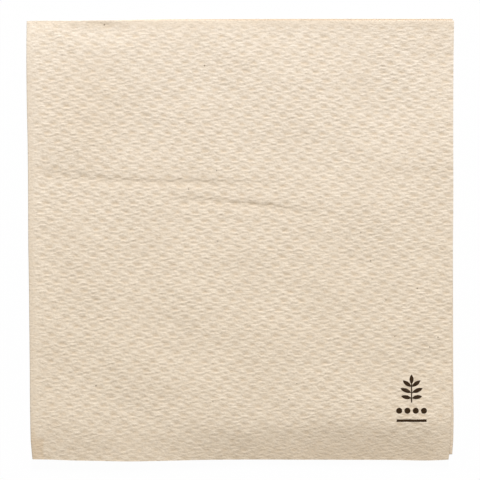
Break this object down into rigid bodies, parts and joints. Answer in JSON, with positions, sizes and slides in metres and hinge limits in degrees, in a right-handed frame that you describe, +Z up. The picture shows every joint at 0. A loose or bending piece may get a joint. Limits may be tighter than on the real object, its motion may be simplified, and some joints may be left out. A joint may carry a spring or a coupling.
{
  "type": "paper napkin",
  "caption": "Embossed tissue napkin folded in four and lying flat, for wiping hands and mouth or laying under cutlery.",
  "frame": {"origin": "middle of the area that the folded napkin covers, on the surface that it lies on", "axes": "+X from the second fold to the free edges, +Y from the open hem to the first fold, +Z up through the leaves"},
  "size_m": [0.16, 0.165, 0.0023],
  "materials": {
    "tissue": "matte, uncoated and embossed"
  },
  "bodies": {
    "root": {"napkin": "tissue"}
  },
  "joints": []
}
